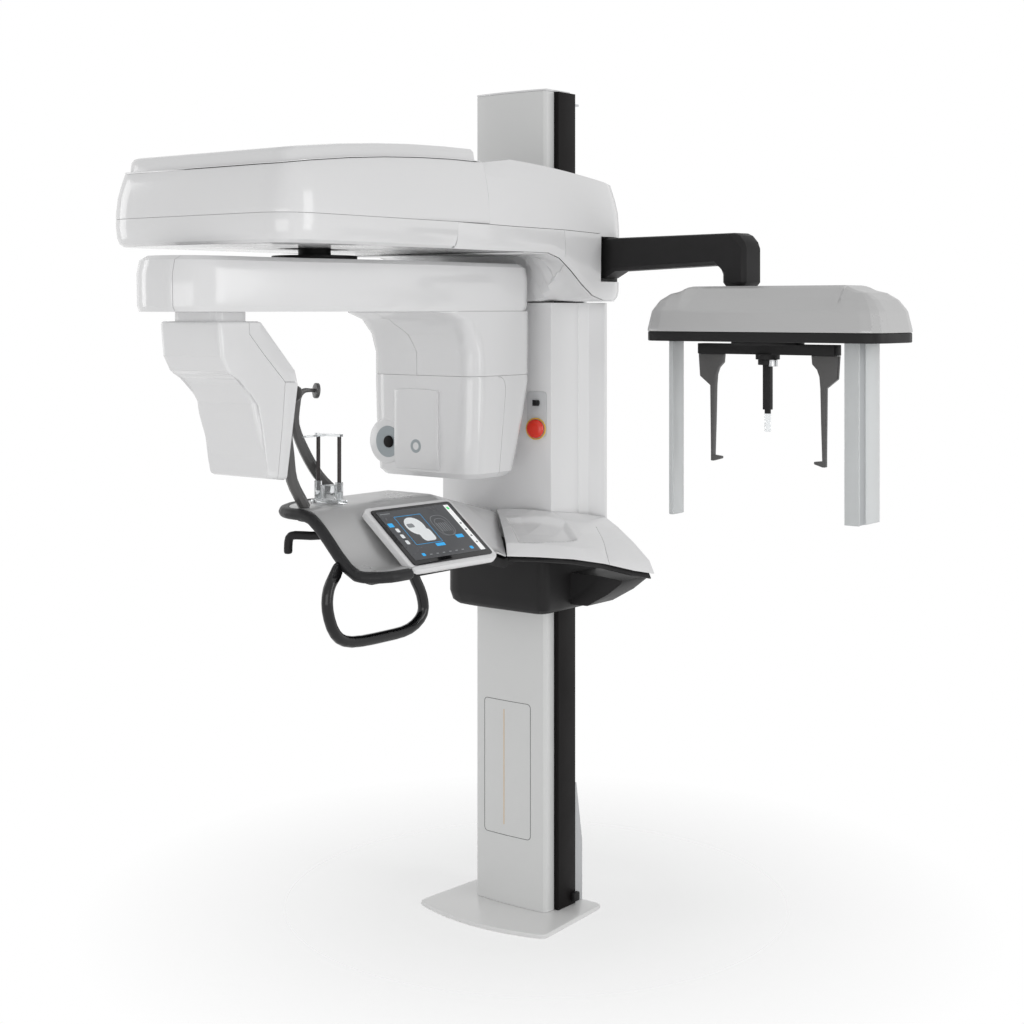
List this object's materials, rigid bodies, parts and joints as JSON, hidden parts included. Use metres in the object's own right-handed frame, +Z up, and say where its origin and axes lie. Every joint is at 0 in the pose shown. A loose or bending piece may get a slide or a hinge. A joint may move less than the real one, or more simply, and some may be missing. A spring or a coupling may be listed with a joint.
{
  "type": "panoramic xray machine",
  "caption": "Floor-standing dental panoramic x-ray unit: lifting column, overhead head with rotating source and sensor arms, chin-rest platform with touch screen, and cephalometric side arm.",
  "frame": {"origin": "on the floor, in the middle of the mast's width and 30 mm behind the lift screw's axis", "axes": "+Z up, +Y towards the wall behind the mast, -Y towards the patient, +X towards the cephalometric arm"},
  "size_m": [1.533, 1.465, 2.3],
  "materials": {
    "white_shell": "gloss",
    "base_paint": "gloss",
    "mast_paint": "satin",
    "grey_plastic": "satin",
    "aluminium": "satin",
    "steel": "satin",
    "dark_steel": "satin",
    "black_plastic": "matte",
    "black_gloss": "gloss",
    "dark_arm": "satin",
    "screen_glass": "gloss",
    "rubber": "matte",
    "clear_plastic": "satin",
    "red_plastic": "gloss"
  },
  "bodies": {
    "mast": {"base_plate": "base_paint", "mast_extrusion": "aluminium", "mast_front_cover": "mast_paint", "side_channel_left": "black_plastic", "side_channel_right": "black_plastic", "mast_top_cap": "white_shell", "guide_rail_left": "steel", "guide_rail_right": "steel", "lift_screw": "steel", "lift_motor": "black_plastic", "wall_bracket": "steel", "cable_cover": "grey_plastic", "foot_connector": "black_plastic"},
    "carriage": {"carriage_plate": "aluminium", "guide_block_left": "steel", "guide_block_right": "steel", "head_frame": "aluminium", "support_frame": "aluminium", "column_front_cover": "white_shell", "column_rear_cover": "white_shell", "head_lower_shell": "white_shell", "head_upper_shell": "white_shell", "head_top_lid": "white_shell", "head_rear_shell": "white_shell", "head_underside": "white_shell", "arm_casting": "aluminium", "arm_cover": "grey_plastic", "platform_shell": "grey_plastic", "bumper_band": "rubber", "loop_handle": "black_gloss", "hook_handle": "black_plastic", "touch_screen": "screen_glass", "screen_housing": "white_shell", "chin_rest": "clear_plastic", "lower_housing": "black_plastic", "wing_cover": "white_shell", "switch_plate": "grey_plastic", "ceph_arm": "black_plastic", "ceph_head_shell": "grey_plastic", "ceph_head_pan": "black_plastic"},
    "stage": {"gantry_stage": "aluminium"},
    "gantry": {"slewing_shaft": "black_plastic", "gantry_band": "white_shell", "source_shoulder": "white_shell", "source_housing": "white_shell", "positioning_camera": "black_gloss"},
    "sensor": {"sensor_housing": "white_shell", "xray_detector": "black_plastic"},
    "bite": {"bite_support": "dark_steel"},
    "temple_left": {"temple_arm_left": "dark_arm"},
    "temple_right": {"temple_arm_right": "dark_arm"},
    "estop": {"estop_button": "red_plastic"},
    "rocker": {"power_rocker": "black_plastic"},
    "head_holder": {"head_holder_bar": "black_plastic"},
    "ear_left": {"ear_arm_left": "grey_plastic"},
    "ear_right": {"ear_arm_right": "grey_plastic"},
    "nasal": {"nasal_stem": "black_plastic"},
    "sensor_panel": {"ceph_sensor": "clear_plastic"},
    "collimator_panel": {"ceph_collimator": "clear_plastic"}
  },
  "joints": [
    {"name": "lift", "type": "slide", "parent": "mast", "child": "carriage", "axis": [0, 0, 1], "range_m": [-0.45, 0.2]},
    {"name": "stage_slide", "type": "slide", "parent": "carriage", "child": "stage", "axis": [0, 1, 0], "range_m": [-0.05, 0.01]},
    {"name": "gantry_turn", "type": "hinge", "parent": "stage", "child": "gantry", "pos_m": [0, -0.9, 1.88], "axis": [0, 0, 1], "range_deg": [-180, 180]},
    {"name": "sensor_shift", "type": "slide", "parent": "gantry", "child": "sensor", "axis": [1, 0, 0], "range_m": [-0.03, 0.03]},
    {"name": "bite_height", "type": "slide", "parent": "carriage", "child": "bite", "axis": [0, 0, 1], "range_m": [-0.02, 0.015]},
    {"name": "temple_left_turn", "type": "hinge", "parent": "carriage", "child": "temple_left", "pos_m": [-0.06, -0.762, 1.2083], "axis": [0, 0, 1], "range_deg": [-18, 3]},
    {"name": "temple_right_turn", "type": "hinge", "parent": "carriage", "child": "temple_right", "pos_m": [0.032, -0.9645, 1.2083], "axis": [0, 0, 1], "range_deg": [-3, 18]},
    {"name": "estop_press", "type": "slide", "parent": "carriage", "child": "estop", "axis": [-0.1999, 0.9798, 0], "range_m": [0, 0.004], "stiffness_N_per_m": 800, "springref_m": -0.001},
    {"name": "rocker_tilt", "type": "hinge", "parent": "carriage", "child": "rocker", "pos_m": [0.15428, -0.20566, 1.432], "axis": [0.9798, 0.1999, 0], "range_deg": [-10, 10]},
    {"name": "holder_turn", "type": "hinge", "parent": "carriage", "child": "head_holder", "pos_m": [0.87, -0.2, 1.6], "axis": [0, 0, 1], "range_deg": [-90, 90]},
    {"name": "ear_left_slide", "type": "slide", "parent": "head_holder", "child": "ear_left", "axis": [1, 0, 0], "range_m": [0, 0.05]},
    {"name": "ear_right_slide", "type": "slide", "parent": "head_holder", "child": "ear_right", "axis": [-1, 0, 0], "range_m": [0, 0.05]},
    {"name": "nasal_slide", "type": "slide", "parent": "head_holder", "child": "nasal", "axis": [0, 1, 0], "range_m": [-0.02, 0.02]},
    {"name": "sensor_scan", "type": "slide", "parent": "carriage", "child": "sensor_panel", "axis": [0, 1, 0], "range_m": [-0.035, 0.035]},
    {"name": "collimator_scan", "type": "slide", "parent": "carriage", "child": "collimator_panel", "axis": [0, 1, 0], "range_m": [-0.035, 0.035]}
  ],
  "couplings": [
    {"joint": "temple_right_turn", "follows": "temple_left_turn", "ratio": -1},
    {"joint": "ear_right_slide", "follows": "ear_left_slide", "ratio": 1},
    {"joint": "collimator_scan", "follows": "sensor_scan", "ratio": 1}
  ]
}
